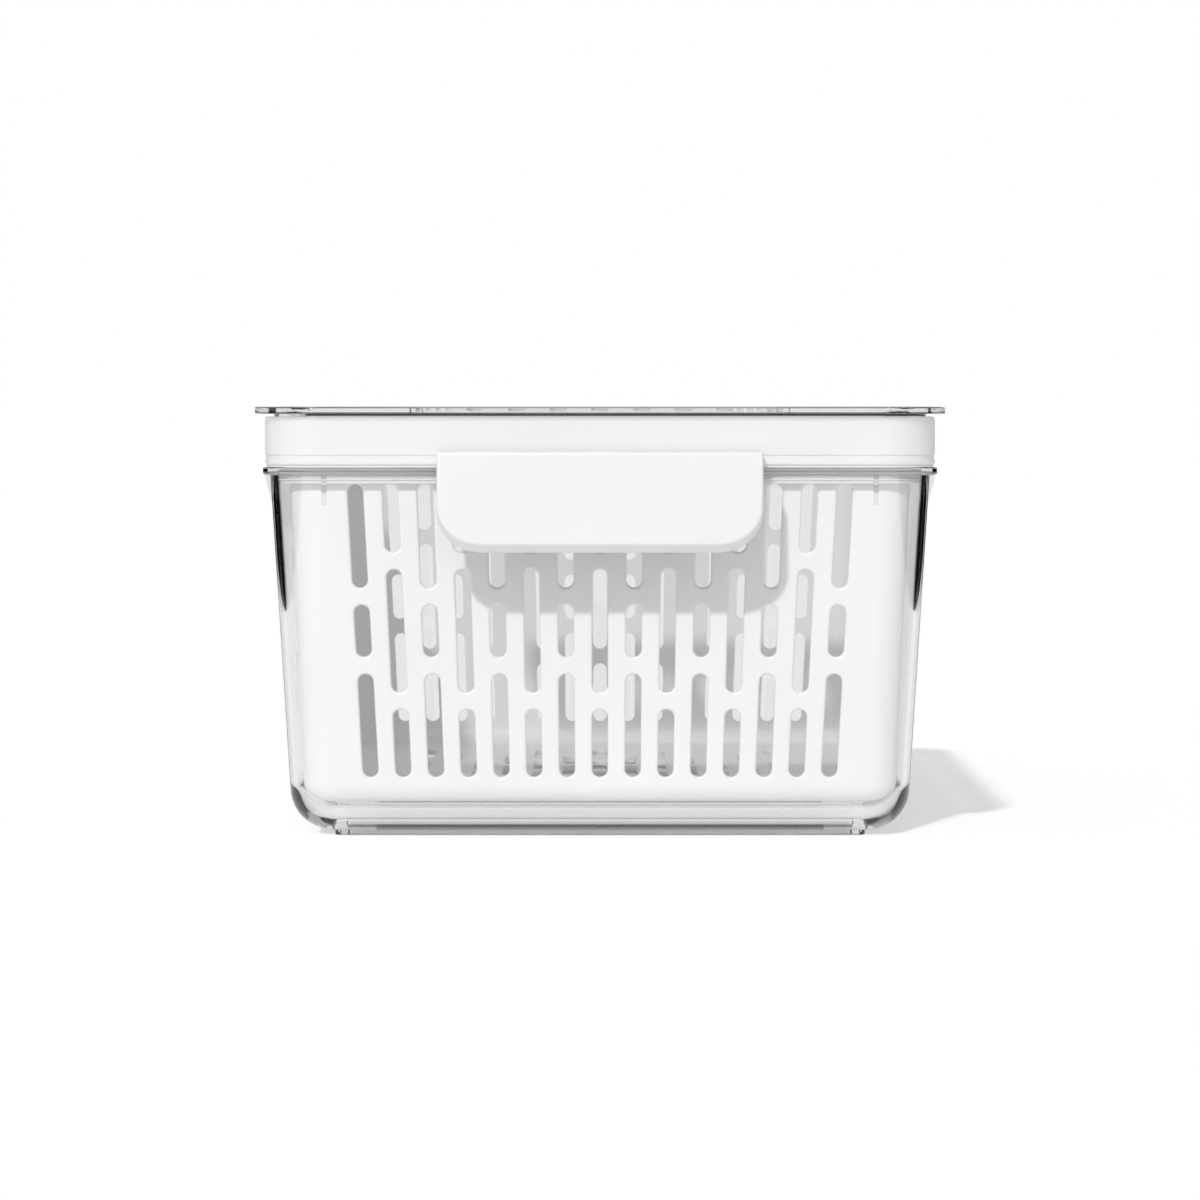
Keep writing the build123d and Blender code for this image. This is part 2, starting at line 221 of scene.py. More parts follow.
# A polished mould for the tub, and a finely matted one for the lid plate, which blurs what its edge shows.
# The white parts' grain, 0.9 and 0.6 mm, is drawn coarser than a real mould's so that it shows.
san = clear_san("polished_clear_san", tone="#FDFDFD", roughness=0.015, passed="#FCFCFC")
plate_san = clear_san("matted_clear_san", tone="#FAFAFB", roughness=0.045, passed="#E6E6E6")
basket_pp = white_pp(
    "moulded_white_pp_satin", ("#F7F7F8", "#FBFBFC"), roughness=0.42, grain_mm=0.9, grain_depth=0.02
)
lid_pp = white_pp(
    "moulded_white_pp_fine", ("#EDEDEF", "#F1F1F3"), roughness=0.34, grain_mm=0.6, grain_depth=0.012
)
silicone = clear_silicone()

# Pieces of the keeper

# Points nearer than SAME_POINT are joined, edges under NO_LENGTH dropped, faces within FLAT_TURN merged
SAME_POINT = 0.002 * MM
NO_LENGTH = 0.001 * MM
FLAT_TURN = radians(0.6)
# Edges that turn more than SHARP_DEG are shaded sharp, and more than BROKEN_TURN are broken
SHARP_DEG = 34.0
BROKEN_TURN = radians(50)


def joined_shape(mesh):
    """The shape of a mesh whose faces share their corners."""
    shape = bmesh.new()
    shape.from_mesh(mesh)
    bmesh.ops.remove_doubles(shape, verts=shape.verts, dist=SAME_POINT)
    return shape


def join_flats(shape):
    """Join a shape's faces wherever they hardly turn."""
    bmesh.ops.dissolve_limit(
        shape, angle_limit=FLAT_TURN, verts=shape.verts, edges=shape.edges, delimit={"NORMAL"}
    )


def smooth_object(name, mesh, material, sharp_deg=SHARP_DEG):
    """A mesh as an object in its material, smooth but for its sharp edges."""
    mesh.materials.append(material)
    mesh.shade_smooth()
    mesh.set_sharp_from_angle(angle=radians(sharp_deg))
    return new_object(name, mesh)


def smooth_piece(node, name, body, material, edge_mm=0.0):
    """A joined-up copy of a node, its hard edges broken as a mould leaves them, standing for that node."""
    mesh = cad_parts[node].data.copy()
    mesh.name = name
    shape = joined_shape(mesh)
    bmesh.ops.dissolve_degenerate(shape, edges=shape.edges, dist=NO_LENGTH)
    join_flats(shape)
    shape.to_mesh(mesh)
    shape.free()
    mesh.materials.clear()
    piece = smooth_object(name, mesh, material)
    if edge_mm:
        rounding = piece.modifiers.new("broken_edges", "BEVEL")
        rounding.width = edge_mm * MM
        rounding.segments = 2
        rounding.limit_method = "ANGLE"
        rounding.angle_limit = BROKEN_TURN
        rounding.use_clamp_overlap = True
        rounding.miter_outer = "MITER_ARC"
    settle = piece.modifiers.new("even_normals", "WEIGHTED_NORMAL")
    settle.keep_sharp = not edge_mm
    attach(piece, body)
    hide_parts(node)


# Sizes of the tub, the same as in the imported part, in millimetres. Insets are from the lip's outline.
CENTRE_Y = 8.8
LIP_HALF = (103.1, 145.6)
LIP_CORNER = 17.6
TUB_TOP = 113.4
TUB_DRAFT = radians(3.3)
LIP_UNDER = 110.9
LIP_EDGE = 0.6
OUTER_WALL = 2.1
INNER_WALL = 4.4
OUTER_ROUND = 13.0
INNER_ROUND = 10.7
BASE_EDGE = 1.8
BASE_UNDER = 4.3
TUB_FLOOR = 6.8
FOOT_WIDTH = 4.0
FOOT_EDGE = 0.5
FOOT_CORNERS = (2.5, 1.0)
# How finely rounded corners and edges are drawn
CORNER_STEPS = 16
ROUND_STEPS = 16
LIP_STEPS = 5
RIM_STEPS = 4
# A bowl's flat middle starts this far in from its last outline
MIDDLE_STEP, MIDDLE_CORNER = 3, 1.0
LEAST_CORNER = 0.5


def outline_loop(shape, inset, z, corner_r):
    """One rounded rectangle of points, drawn in from the lip's outline by an inset."""
    half_x, half_y = LIP_HALF[0] - inset, LIP_HALF[1] - inset
    loop = []
    for quarter, (side_x, side_y) in enumerate(((1, 1), (-1, 1), (-1, -1), (1, -1))):
        for step in range(CORNER_STEPS + 1):
            turn = (quarter + step / CORNER_STEPS) * pi / 2
            x = side_x * (half_x - corner_r) + corner_r * cos(turn)
            y = side_y * (half_y - corner_r) + corner_r * sin(turn) + CENTRE_Y
            loop.append(shape.verts.new((x * MM, y * MM, z * MM)))
    return loop


def profile_arc(centre, radius, start, end, steps, corner_at_centre):
    """An arc of a bowl's profile, as (inset, z, corner radius): 0 points outwards, 90 degrees up."""
    points = []
    for step in range(steps + 1):
        turn = radians(start + (end - start) * step / steps)
        reach = radius * cos(turn)
        corner_r = max(corner_at_centre + reach, LEAST_CORNER)
        points.append((centre[0] - reach, centre[1] + radius * sin(turn), corner_r))
    return points


def wall_round(wall_inset, top_z, draft, low_z, radius, upwards):
    """The rounding between a leaning wall and the level below it, from either end."""
    lean = (top_z - low_z) * tan(draft)
    centre = (wall_inset + lean + radius * tan(pi / 4 - draft / 2), low_z + radius)
    ends = (-90, -degrees(draft)) if upwards else (-degrees(draft), -90)
    return profile_arc(centre, radius, *ends, ROUND_STEPS, LIP_CORNER - wall_inset - radius)


def bowl_shape(profile):
    """A closed bowl through one rounded outline for each point of its profile."""
    shape = bmesh.new()
    loops = [outline_loop(shape, *point) for point in profile]
    for lower, upper in zip(loops, loops[1:]):
        for at in range(len(lower)):
            after = (at + 1) % len(lower)
            shape.faces.new((lower[at], lower[after], upper[after], upper[at]))
    shape.faces.new(loops[0])
    shape.faces.new(loops[-1])
    bmesh.ops.recalc_face_normals(shape, faces=shape.faces)
    return shape


def tub_shape():
    """The tub as one skin: under the base, round the foot, up the wall, over the lip and down the inside."""
    foot_out = OUTER_WALL + OUTER_ROUND + (TUB_TOP - BASE_EDGE) * tan(TUB_DRAFT)
    foot_in = foot_out + FOOT_WIDTH
    out_corner, in_corner = FOOT_CORNERS
    in_centre = (foot_in - FOOT_EDGE, FOOT_EDGE)
    out_centre = (foot_out + FOOT_EDGE, FOOT_EDGE)
    foot = (
        [(foot_in + MIDDLE_STEP, BASE_UNDER, MIDDLE_CORNER), (foot_in, BASE_UNDER, in_corner)]
        + profile_arc(in_centre, FOOT_EDGE, 180, 270, RIM_STEPS, in_corner + FOOT_EDGE)
        + profile_arc(out_centre, FOOT_EDGE, 270, 360, RIM_STEPS, out_corner - FOOT_EDGE)
        + [(foot_out, BASE_EDGE, out_corner)]
    )
    outside = wall_round(OUTER_WALL, TUB_TOP, TUB_DRAFT, BASE_EDGE, OUTER_ROUND, True)
    lip_corner = LIP_CORNER - LIP_EDGE
    rim_z = TUB_TOP - LIP_EDGE
    inner_corner = LIP_CORNER - INNER_WALL + LIP_EDGE
    lip = (
        [(OUTER_WALL + (TUB_TOP - LIP_UNDER) * tan(TUB_DRAFT), LIP_UNDER, LIP_CORNER - OUTER_WALL)]
        + profile_arc((LIP_EDGE, LIP_UNDER + LIP_EDGE), LIP_EDGE, -90, 0, LIP_STEPS, lip_corner)
        + profile_arc((LIP_EDGE, rim_z), LIP_EDGE, 0, 90, LIP_STEPS, lip_corner)
        + profile_arc((INNER_WALL - LIP_EDGE, rim_z), LIP_EDGE, 90, 180, LIP_STEPS, inner_corner)
    )
    inside = wall_round(INNER_WALL, TUB_TOP, TUB_DRAFT, TUB_FLOOR, INNER_ROUND, False)
    middle = [(inside[-1][0] + MIDDLE_STEP, TUB_FLOOR, MIDDLE_CORNER)]
    return bowl_shape(foot + outside + lip + inside + middle)


# The front is cut free this far before the lip, so that the two skins don't touch
FRONT_GAP = 0.03


def front_of_tub():
    """The clear shelf, apron and cheeks that stand in front of the lip and carry the pull."""
    shape = joined_shape(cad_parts["tub"].data)
    lip_front = (CENTRE_Y - LIP_HALF[1] - FRONT_GAP) * MM
    bmesh.ops.bisect_plane(
        shape,
        geom=shape.verts[:] + shape.edges[:] + shape.faces[:],
        plane_co=(0, lip_front, 0),
        plane_no=(0, 1, 0),
        clear_outer=True,
    )
    bmesh.ops.holes_fill(shape, edges=[edge for edge in shape.edges if edge.is_boundary])
    join_flats(shape)
    return shape


def finished_piece(shape, name, body, material, nodes, sharp_deg=SHARP_DEG):
    """A mesh piece from its shape, smooth but for its sharp edges, riding on its body."""
    piece = smooth_object(name, mesh_of(shape, name), material, sharp_deg)
    settle = piece.modifiers.new("even_normals", "WEIGHTED_NORMAL")
    settle.keep_sharp = True
    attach(piece, body)
    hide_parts(*nodes)


finished_piece(tub_shape(), "clear_tub", "base", san, ["tub"])
finished_piece(front_of_tub(), "clear_apron", "base", san, ["tub"])

# Sizes of the ribs under the lip, in millimetres. The gap keeps their faces off the wall and the lip.
GUSSET_HEIGHT = 9.0
GUSSET_THICKNESS = 1.5
GUSSET_FROM_CORNER = 19.5
GUSSET_GAP = 0.02


def gusset_points():
    """A mesh of points where the ribs stand, with the way that each one faces."""
    half_x, half_y = LIP_HALF
    wall = OUTER_WALL + (TUB_TOP - LIP_UNDER) * tan(TUB_DRAFT) - GUSSET_GAP
    spots, turns = [], []
    for side in (-1, 1):
        for end in (-1, 1):
            spots.append((end * (half_x - GUSSET_FROM_CORNER), side * (half_y - wall)))
            turns.append(0 if side > 0 else pi)
            spots.append((side * (half_x - wall), end * (half_y - GUSSET_FROM_CORNER)))
            turns.append(-side * pi / 2)
    mesh = bpy.data.meshes.new("gusset_points")
    under_lip = (LIP_UNDER - GUSSET_GAP) * MM
    mesh.from_pydata([(x * MM, (y + CENTRE_Y) * MM, under_lip) for x, y in spots], [], [])
    facing = mesh.attributes.new("facing", "FLOAT", "POINT")
    facing.data.foreach_set("value", turns)
    return mesh


def gusset_tree(material):
    """Geometry Nodes that stand one wedge-shaped rib at each point, turned the way it faces."""
    tree = bpy.data.node_groups.new("gussets_under_lip", "GeometryNodeTree")
    ports = tree.interface
    ports.new_socket("Points", in_out="INPUT", socket_type="NodeSocketGeometry")
    for name in ("Thickness", "Reach", "Height", "Lean"):
        ports.new_socket(name, in_out="INPUT", socket_type="NodeSocketFloat")
    ports.new_socket("Ribs", in_out="OUTPUT", socket_type="NodeSocketGeometry")
    given = add_node(tree, "NodeGroupInput").outputs
    size = add_node(
        tree, "ShaderNodeCombineXYZ", {0: given["Thickness"], 1: given["Reach"], 2: given["Height"]}
    )
    block = add_node(tree, "GeometryNodeMeshCube", {"Size": size.outputs[0]})
    place = add_node(tree, "GeometryNodeInputPosition")
    axes = add_node(tree, "ShaderNodeSeparateXYZ", {0: place.outputs[0]})
    top = add_node(tree, "FunctionNodeCompare", {"A": axes.outputs[2]}, operation="GREATER_THAN")
    half_reach = add_node(tree, "ShaderNodeMath", {0: given["Reach"]}, {1: 0.5}, operation="MULTIPLY")
    outward = add_node(
        tree, "ShaderNodeMath", {0: axes.outputs[1], 1: half_reach.outputs[0]}, operation="ADD"
    )
    drawn_in = add_node(tree, "ShaderNodeMath", {0: given["Lean"]}, {1: -1.0}, operation="MULTIPLY")
    across = add_node(
        tree,
        "GeometryNodeSwitch",
        {"Switch": top.outputs[0], "False": drawn_in.outputs[0], "True": outward.outputs[0]},
        input_type="FLOAT",
    )
    half_height = add_node(tree, "ShaderNodeMath", {0: given["Height"]}, {1: 0.5}, operation="MULTIPLY")
    drop = add_node(
        tree, "ShaderNodeMath", {0: axes.outputs[2], 1: half_height.outputs[0]}, operation="SUBTRACT"
    )
    moved = add_node(
        tree, "ShaderNodeCombineXYZ", {0: axes.outputs[0], 1: across.outputs[0], 2: drop.outputs[0]}
    )
    wedge = add_node(
        tree, "GeometryNodeSetPosition", {"Geometry": block.outputs[0], "Position": moved.outputs[0]}
    )
    merged = add_node(
        tree, "GeometryNodeMergeByDistance", {"Geometry": wedge.outputs[0]}, {"Distance": NO_LENGTH}
    )
    facing = add_node(tree, "GeometryNodeInputNamedAttribute", values={"Name": "facing"}, data_type="FLOAT")
    turned = add_node(tree, "ShaderNodeCombineXYZ", {2: facing.outputs[0]})
    ribs = add_node(
        tree,
        "GeometryNodeInstanceOnPoints",
        {"Points": given["Points"], "Instance": merged.outputs[0], "Rotation": turned.outputs[0]},
    )
    real = add_node(tree, "GeometryNodeRealizeInstances", {0: ribs.outputs[0]})
    dressed = add_node(
        tree, "GeometryNodeSetMaterial", {"Geometry": real.outputs[0]}, {"Material": material}
    )
    add_node(tree, "NodeGroupOutput", {0: dressed.outputs[0]})
    return tree


def grown_shape(start, tree, given):
    """The plain shape that a tree makes from a starting mesh, with its named inputs given."""
    holder = new_object("grown", start)
    nodes = holder.modifiers.new("grow", "NODES")
    nodes.node_group = tree
    for port in tree.interface.items_tree:
        if port.item_type == "SOCKET" and port.in_out == "INPUT" and port.name in given:
            nodes[port.identifier] = given[port.name]
    holder.update_tag()
    bpy.context.view_layer.update()
    grown = bpy.data.meshes.new_from_object(holder.evaluated_get(bpy.context.evaluated_depsgraph_get()))
    shape = bmesh.new()
    shape.from_mesh(grown)
    bpy.data.objects.remove(holder)
    return shape


gusset_sizes = {
    "Thickness": GUSSET_THICKNESS * MM,
    "Reach": (OUTER_WALL - LIP_EDGE / 2) * MM,
    "Height": GUSSET_HEIGHT * MM,
    "Lean": GUSSET_HEIGHT * tan(TUB_DRAFT) * MM,
}
gussets = grown_shape(gusset_points(), gusset_tree(san), gusset_sizes)
finished_piece(gussets, "clear_gussets", "base", san, ["tub"])
smooth_piece("handle_cover", "white_pull", "base", lid_pp, edge_mm=0.25)

# Sizes of the basket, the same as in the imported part, in millimetres
BASKET_INSET = 8.3
BASKET_TOP = 110.5
BASKET_UNDER = 9.2
BASKET_DRAFT = radians(2.42)
BASKET_WALL = 1.8
BASKET_ROUND = 7.9
BASKET_RIM = 0.6
FLOOR_TOP = BASKET_UNDER + BASKET_WALL
FOOT_SIZE = 13.2
FOOT_INSET = 1.3
FOOT_EASE = 0.8
# Wall slots. Their pitch widens from the low end of the field to the high one, as the wall leans.
SLOT_WIDTH = 4.8
SLOT_FIELD = (18.7, 108.2)
SLOT_PITCH = (9.99, 10.65)
# How much of the field each end slot fills, in even and in odd columns
END_SHARES = (0.232, 0.353)
SLOT_BRIDGE = 5.2
SLOT_MARGIN = 7.5
# Floor slots, which run from front to back
FLOOR_SLOT = 42.0
FLOOR_BRIDGE = 8.0
FLOOR_MARGIN = 16.0
# The plugs that cut the slots: the rounding that they leave, and how far they reach in and out
SLOT_FLARE = 0.7
PLUG_STEPS = 20
PLUG_INWARD = 3.0
PLUG_OUTWARD = 1.0


def basket_shape():
    """The basket's bowl before its slots are cut."""
    rim_z = BASKET_TOP - BASKET_RIM
    inner = BASKET_INSET + BASKET_WALL
    corner = LIP_CORNER - BASKET_INSET
    outside = wall_round(BASKET_INSET, BASKET_TOP, BASKET_DRAFT, BASKET_UNDER, BASKET_ROUND, True)
    inside = wall_round(inner, BASKET_TOP, BASKET_DRAFT, FLOOR_TOP, BASKET_ROUND - BASKET_WALL, False)
    in_corner = corner - BASKET_WALL + BASKET_RIM
    return bowl_shape(
        [(outside[0][0] + MIDDLE_STEP, BASKET_UNDER, MIDDLE_CORNER)]
        + outside
        + profile_arc((BASKET_INSET + BASKET_RIM, rim_z), BASKET_RIM, 0, 90, RIM_STEPS, corner - BASKET_RIM)
        + profile_arc((inner - BASKET_RIM, rim_z), BASKET_RIM, 90, 180, RIM_STEPS, in_corner)
        + inside
        + [(inside[-1][0] + MIDDLE_STEP, FLOOR_TOP, MIDDLE_CORNER)]
    )


def slot_cutter():
    """The plug that cuts one slot: round before it is stretched, flared where the slot's edge is rounded."""
    depths = [(-PLUG_INWARD, 0.0), (-SLOT_FLARE, 0.0)]
    for turn in (pi / 6, pi / 3, pi / 2):
        depths.append((-SLOT_FLARE * (1 - sin(turn)), SLOT_FLARE * (1 - cos(turn))))
    depths.append((PLUG_OUTWARD, SLOT_FLARE))
    # Half a step of turn leaves no point on the line where the plug is stretched apart
    turns = [(step + 0.5) * 2 * pi / PLUG_STEPS for step in range(PLUG_STEPS)]
    shape = bmesh.new()
    rings = []
    for depth, flare in depths:
        radius = SLOT_WIDTH / 2 + flare
        ring = [(radius * cos(turn) * MM, radius * sin(turn) * MM, depth * MM) for turn in turns]
        rings.append([shape.verts.new(point) for point in ring])
    for lower, upper in zip(rings, rings[1:]):
        for at in range(PLUG_STEPS):
            after = (at + 1) % PLUG_STEPS
            shape.faces.new((lower[at], lower[after], upper[after], upper[at]))
    shape.faces.new(rings[0])
    shape.faces.new(rings[-1])
    bmesh.ops.recalc_face_normals(shape, faces=shape.faces)
    mesh = mesh_of(shape, "slot_cutter")
    ends = mesh.attributes.new("end", "FLOAT", "POINT")
    ends.data.foreach_set("value", [1.0 if vertex.co.y > 0 else -1.0 for vertex in mesh.vertices])
    return new_object("slot_cutter", mesh)


def wall_slot_ends(across_half, out_half, turn):
    """Each slot's two end centres and the way it faces, in the front wall or in one turned from there."""
    low_field, high_field = SLOT_FIELD
    field = high_field - low_field
    reach = int((across_half - LIP_CORNER - SLOT_MARGIN) / SLOT_PITCH[1])
    turned = Matrix.Rotation(turn, 3, "Z")
    facing = turned @ Vector((0, -cos(BASKET_DRAFT), -sin(BASKET_DRAFT)))
    slots = []
    for column in range(-reach, reach + 1):
        end = END_SHARES[column % 2] * field
        rows = (
            (low_field, low_field + end),
            (low_field + end + SLOT_BRIDGE, high_field - end - SLOT_BRIDGE),
            (high_field - end, high_field),
        )
        for low, high in rows:
            centres = []
            for z in (low + SLOT_WIDTH / 2, high - SLOT_WIDTH / 2):
                share = (z - low_field) / field
                x = column * (SLOT_PITCH[0] + share * (SLOT_PITCH[1] - SLOT_PITCH[0]))
                out = out_half - BASKET_INSET - (BASKET_TOP - z) * tan(BASKET_DRAFT)
                centres.append(turned @ Vector((x, -out, z)))
            slots.append((*centres, facing))
    return slots


def foot_centres():
    """How far the feet's middles are from the basket's, sideways and from front to back."""
    lean = (BASKET_TOP - BASKET_UNDER) * tan(BASKET_DRAFT)
    inset = BASKET_INSET + lean + BASKET_ROUND + FOOT_INSET + FOOT_SIZE / 2
    return LIP_HALF[0] - inset, LIP_HALF[1] - inset


def floor_slot_ends():
    """Each floor slot's two end centres and the way it faces, every other column half a pitch along."""
    foot_x, foot_y = foot_centres()
    columns = int((foot_x - FOOT_SIZE / 2 - SLOT_WIDTH) / SLOT_PITCH[0])
    pitch = FLOOR_SLOT + FLOOR_BRIDGE
    rows = int((2 * foot_y - FOOT_SIZE - FLOOR_MARGIN) / pitch)
    run = Vector((0, (FLOOR_SLOT - SLOT_WIDTH) / 2, 0))
    up = Vector((0, 0, 1))
    slots = []
    for column in range(-columns, columns + 1):
        count = rows - 1 if column % 2 else rows
        for row in range(count):
            middle = Vector((column * SLOT_PITCH[0], (row - (count - 1) / 2) * pitch, FLOOR_TOP))
            slots.append((middle - run, middle + run, up))
    return slots


def slot_points(slots):
    """A mesh of the slots' middles, each with its turn and the half run that stretches its plug."""
    middles, turns, runs = [], [], []
    for low, high, facing in slots:
        run = (high - low) / 2
        along = run.normalized()
        axes = Matrix((along.cross(facing), along, facing)).transposed()
        middles.append([c * MM for c in (low + high) / 2 + Vector((0, CENTRE_Y, 0))])
        turns += axes.to_euler()[:]
        runs += [c * MM for c in run]
    mesh = bpy.data.meshes.new("slot_points")
    mesh.from_pydata(middles, [], [])
    for name, values in (("turn", turns), ("run", runs)):
        mesh.attributes.new(name, "FLOAT_VECTOR", "POINT").data.foreach_set("vector", values)
    return new_object("slot_points", mesh)


def slotting_tree(material):
    """Geometry Nodes that set a stretched plug at every slot and cut them all out of the bowl."""
    tree = bpy.data.node_groups.new("basket_slots", "GeometryNodeTree")
    ports = tree.interface
    ports.new_socket("Bowl", in_out="INPUT", socket_type="NodeSocketGeometry")
    ports.new_socket("Slots", in_out="INPUT", socket_type="NodeSocketObject")
    ports.new_socket("Plug", in_out="INPUT", socket_type="NodeSocketObject")
    ports.new_socket("Slotted", in_out="OUTPUT", socket_type="NodeSocketGeometry")
    given = add_node(tree, "NodeGroupInput").outputs
    middles = add_node(tree, "GeometryNodeObjectInfo", {"Object": given["Slots"]})
    plug = add_node(tree, "GeometryNodeObjectInfo", {"Object": given["Plug"]})
    turn, run = [
        add_node(tree, "GeometryNodeInputNamedAttribute", values={"Name": name}, data_type="FLOAT_VECTOR")
        for name in ("turn", "run")
    ]
    plugs = add_node(
        tree,
        "GeometryNodeInstanceOnPoints",
        {
            "Points": middles.outputs["Geometry"],
            "Instance": plug.outputs["Geometry"],
            "Rotation": turn.outputs[0],
        },
    )
    real = add_node(tree, "GeometryNodeRealizeInstances", {0: plugs.outputs[0]})
    end = add_node(tree, "GeometryNodeInputNamedAttribute", values={"Name": "end"}, data_type="FLOAT")
    stretch = add_node(
        tree, "ShaderNodeVectorMath", {0: run.outputs[0], "Scale": end.outputs[0]}, operation="SCALE"
    )
    stretched = add_node(
        tree, "GeometryNodeSetPosition", {"Geometry": real.outputs[0], "Offset": stretch.outputs[0]}
    )
    cut = add_node(
        tree,
        "GeometryNodeMeshBoolean",
        {"Mesh 1": given["Bowl"], "Mesh 2": stretched.outputs[0]},
        operation="DIFFERENCE",
        solver="EXACT",
    )
    dressed = add_node(
        tree, "GeometryNodeSetMaterial", {"Geometry": cut.outputs[0]}, {"Material": material}
    )
    add_node(tree, "NodeGroupOutput", {0: dressed.outputs[0]})
    return tree


def add_feet(shape):
    """The four square feet under the basket, edges eased, which reach half way into its floor."""
    foot_x, foot_y = foot_centres()
    height = BASKET_UNDER - TUB_FLOOR + BASKET_WALL / 2
    for side_x in (-1, 1):
        for side_y in (-1, 1):
            foot = bmesh.ops.create_cube(shape, size=MM)["verts"]
            for vertex in foot:
                vertex.co.x = vertex.co.x * FOOT_SIZE + side_x * foot_x * MM
                vertex.co.y = vertex.co.y * FOOT_SIZE + (side_y * foot_y + CENTRE_Y) * MM
                vertex.co.z = vertex.co.z * height + (TUB_FLOOR + height / 2) * MM
            edges = list({edge for vertex in foot for edge in vertex.link_edges})
            bmesh.ops.bevel(
                shape, geom=edges, offset=FOOT_EASE * MM, segments=3, affect="EDGES", profile=0.5
            )


def slotted_shape():
    """The basket with its slots cut and its feet added."""
    bowl = mesh_of(basket_shape(), "basket_bowl")
    half_x, half_y = LIP_HALF
    slots = floor_slot_ends()
    for turn in (0, pi):
        slots += wall_slot_ends(half_x, half_y, turn) + wall_slot_ends(half_y, half_x, turn + pi / 2)
    plug, points = slot_cutter(), slot_points(slots)
    shape = grown_shape(bowl, slotting_tree(basket_pp), {"Slots": points, "Plug": plug})
    bpy.data.objects.remove(plug)
    bpy.data.objects.remove(points)
    add_feet(shape)
    return shape


# Well above the 30 degrees that the slots' rounded edges turn at each step
BASKET_SHARP_DEG = 40.0
finished_piece(
    slotted_shape(), "slotted_basket", "basket", basket_pp, ["basket"], BASKET_SHARP_DEG
)
smooth_piece("lid_frame", "lid_band", "lid", lid_pp, edge_mm=0.15)
smooth_piece("lid_seal", "lid_gasket", "lid", silicone, edge_mm=0.08)
smooth_piece("lid_panel", "clear_lid_plate", "lid", plate_san)
smooth_piece("vent_gasket", "vent_pad", "lid", silicone)
smooth_piece("vent_slider", "vent_shutter", "vent", lid_pp, edge_mm=0.2)
smooth_piece("vent_retainer", "vent_clip", "vent", lid_pp, edge_mm=0.2)

# Studio


def studio_sheet(name, corners, material):
    """A flat card or floor from its four corners."""
    mesh = bpy.data.meshes.new(name)
    mesh.from_pydata(corners, [], [(0, 1, 2, 3)])
    mesh.materials.append(material)
    sheet = new_object(name, mesh)
    return sheet


# Three levels each: for light itself, for rays that show the background, and for those through clear plastic
SKY_LEVELS = (0.49, 1.0, 0.8)
PAPER_TONES = (0.85, 0.6, 0.6)
PAPER_GLOWS = (0.0, 0.42, 0.27)


def shown_level(tree, plain, seen, through):
    """A level that depends on the ray: plain, seen by the camera or in gloss, or seen through plastic."""
    rays = add_node(tree, "ShaderNodeLightPath")
    direct = add_node(
        tree,
        "ShaderNodeMath",
        {0: rays.outputs["Is Camera Ray"], 1: rays.outputs["Is Glossy Ray"]},
        operation="MAXIMUM",
    )
    level = add_node(
        tree, "ShaderNodeMapRange", {"Value": direct.outputs[0]}, {"To Min": plain, "To Max": seen}
    )
    level = add_node(
        tree,
        "ShaderNodeMapRange",
        {"Value": rays.outputs["Is Transmission Ray"], "To Min": level.outputs[0]},
        {"To Max": through},
    )
    return level.outputs[0]


def floor_paper():
    """Matt white studio paper. It glows only where it is seen, so that it is white and keeps the shadow."""
    material, tree = empty_material("studio_floor_paper")
    shade = shown_level(tree, *PAPER_TONES)
    tone = add_node(tree, "ShaderNodeCombineColor", {0: shade, 1: shade, 2: shade})
    paper = add_node(tree, "ShaderNodeBsdfDiffuse", {"Color": tone.outputs[0]})
    glow_level = shown_level(tree, *PAPER_GLOWS)
    glow = add_node(tree, "ShaderNodeEmission", {"Strength": glow_level}, {"Color": (1, 1, 1, 1)})
    surface = add_node(tree, "ShaderNodeAddShader", {0: paper.outputs[0], 1: glow.outputs[0]})
    add_node(tree, "ShaderNodeOutputMaterial", {"Surface": surface.outputs[0]})
    return material


def black_felt():
    """Black felt, for the dark edge lines that a clear wall shows."""
    material, tree = empty_material("studio_black_felt")
    felt = add_node(tree, "ShaderNodeBsdfDiffuse", values={"Color": linear("#0A0A0B")})
    add_node(tree, "ShaderNodeOutputMaterial", {"Surface": felt.outputs[0]})
    return material


# Sizes and places of the floor and the cards, in metres
FLOOR_HALF = 6.0
CARD_LIFT = 0.001
SIDE_X, SIDE_Y, SIDE_TOP = 0.6, (-0.9, 1.6), 0.118
FRONT_X, FRONT_Y, FRONT_TOP = 2.0, -2.2, 1.6

floor_corners = [(x * FLOOR_HALF, y * FLOOR_HALF, 0) for x, y in ((-1, -1), (1, -1), (1, 1), (-1, 1))]
floor = studio_sheet("studio_floor", floor_corners, floor_paper())
felt = black_felt()


def edge_card(name, start, end, top, shows_in_gloss):
    """A dark card standing on the floor, seen only through plastic and, where asked, in gloss."""
    corners = [(*start, CARD_LIFT), (*end, CARD_LIFT), (*end, top), (*start, top)]
    card = studio_sheet(name, corners, felt)
    card.visible_camera = False
    card.visible_diffuse = False
    card.visible_shadow = False
    card.visible_glossy = shows_in_gloss


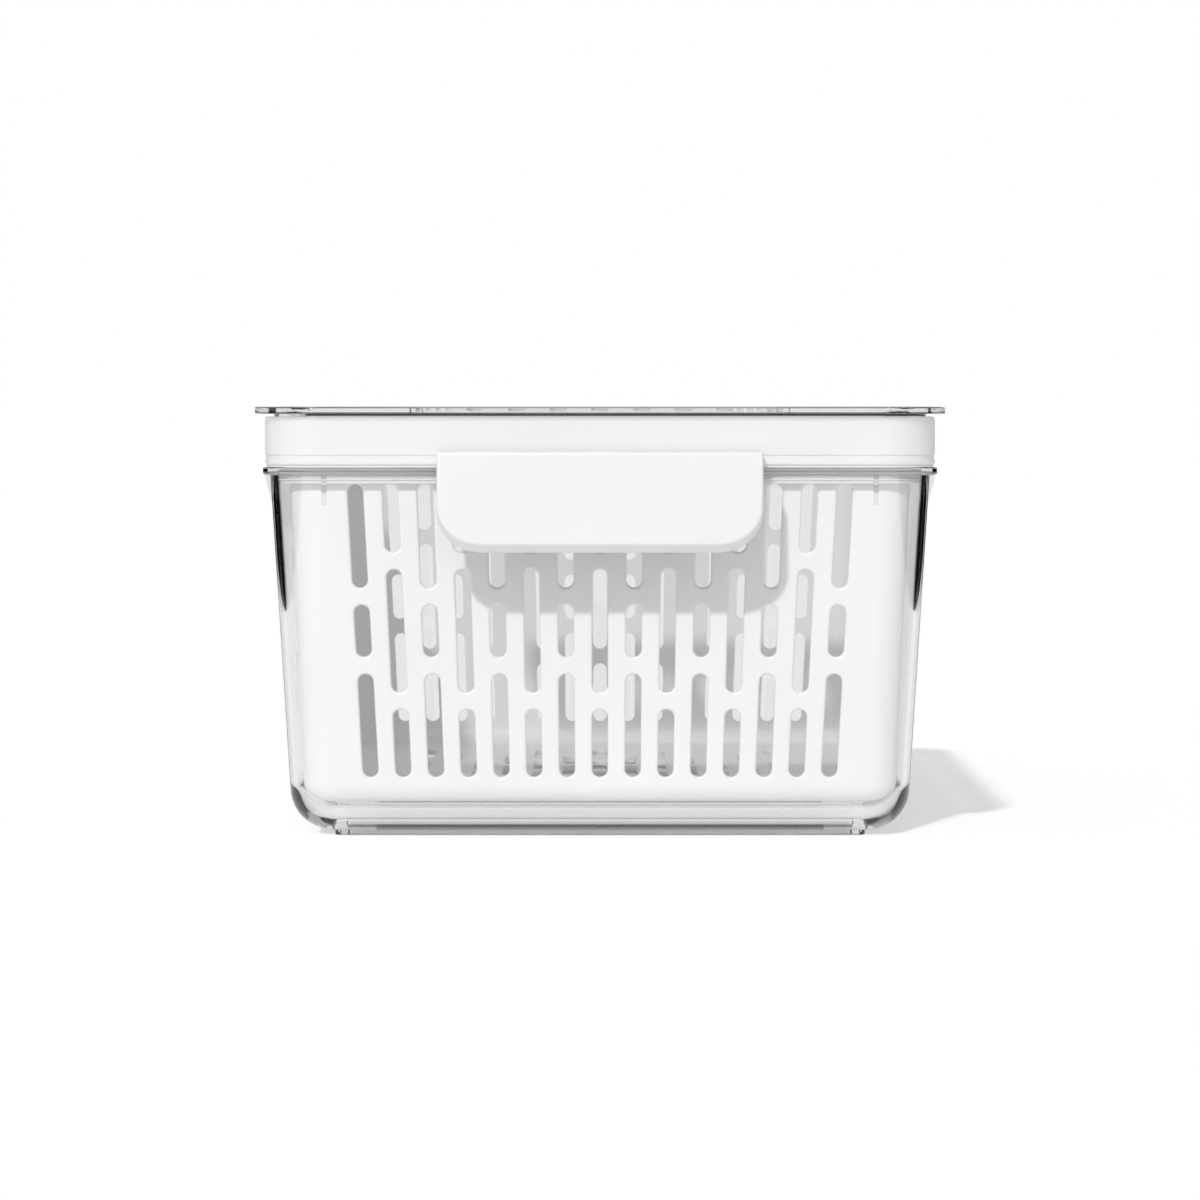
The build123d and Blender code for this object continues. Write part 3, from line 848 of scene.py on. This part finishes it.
for side, name in ((-SIDE_X, "studio_card_left"), (SIDE_X, "studio_card_right")):
    edge_card(name, (side, SIDE_Y[0]), (side, SIDE_Y[1]), SIDE_TOP, shows_in_gloss=True)
edge_card("studio_card_front", (-FRONT_X, FRONT_Y), (FRONT_X, FRONT_Y), FRONT_TOP, shows_in_gloss=False)

world = bpy.data.worlds.new("studio_white")
scene.world = world
world.use_nodes = True
sky = world.node_tree
sky.nodes.clear()
sky_level = shown_level(sky, *SKY_LEVELS)
air = add_node(sky, "ShaderNodeBackground", {"Strength": sky_level}, {"Color": (1, 1, 1, 1)})
add_node(sky, "ShaderNodeOutputWorld", {"Surface": air.outputs[0]})

# How wide the suns look, which softens their shadows, then the way each one's light travels and its strength
SUN_ANGLE = radians(2.5)
KEY_TRAVEL, KEY_ENERGY = (0.296, 1.0, -0.722), 1.6
FLOOR_TRAVEL, FLOOR_ENERGY = (0.269, 1.0, -1.135), 2.05


def sun(name, travel, energy, state):
    """A lamp far off that lights the floor alone, or all but the floor."""
    lamp = bpy.data.lights.new(name, "SUN")
    lamp.energy = energy
    lamp.angle = SUN_ANGLE
    holder = new_object(name, lamp)
    holder.rotation_mode = "QUATERNION"
    holder.rotation_quaternion = Vector(travel).to_track_quat("-Z", "Y")
    lit = bpy.data.collections.new(name + "_lights")
    lit.objects.link(floor)
    for entry in lit.collection_objects:
        entry.light_linking.link_state = state
    holder.light_linking.receiver_collection = lit


# The pull's shadow on the basket and the keeper's on the floor fall in different directions, from two lamps
sun("key_sun", KEY_TRAVEL, KEY_ENERGY, "EXCLUDE")
sun("floor_sun", FLOOR_TRAVEL, FLOOR_ENERGY, "INCLUDE")

# The camera stands level with the lid and looks down a little, so that the lid's top shows as a line
EYE = (0.0, -1.609, 0.1313)
TILT_DOWN = 2.258
SENSOR_WIDTH, FOCAL_LENGTH = 36.0, 146.1
NEAREST, FARTHEST = 0.01, 50.0
lens = bpy.data.cameras.new("view")
lens.sensor_width = SENSOR_WIDTH
lens.lens = FOCAL_LENGTH
lens.clip_start, lens.clip_end = NEAREST, FARTHEST
camera = new_object("view", lens)
camera.location = EYE
camera.rotation_euler = (radians(90 - TILT_DOWN), 0, 0)
scene.camera = camera

scene.view_settings.view_transform = "Standard"
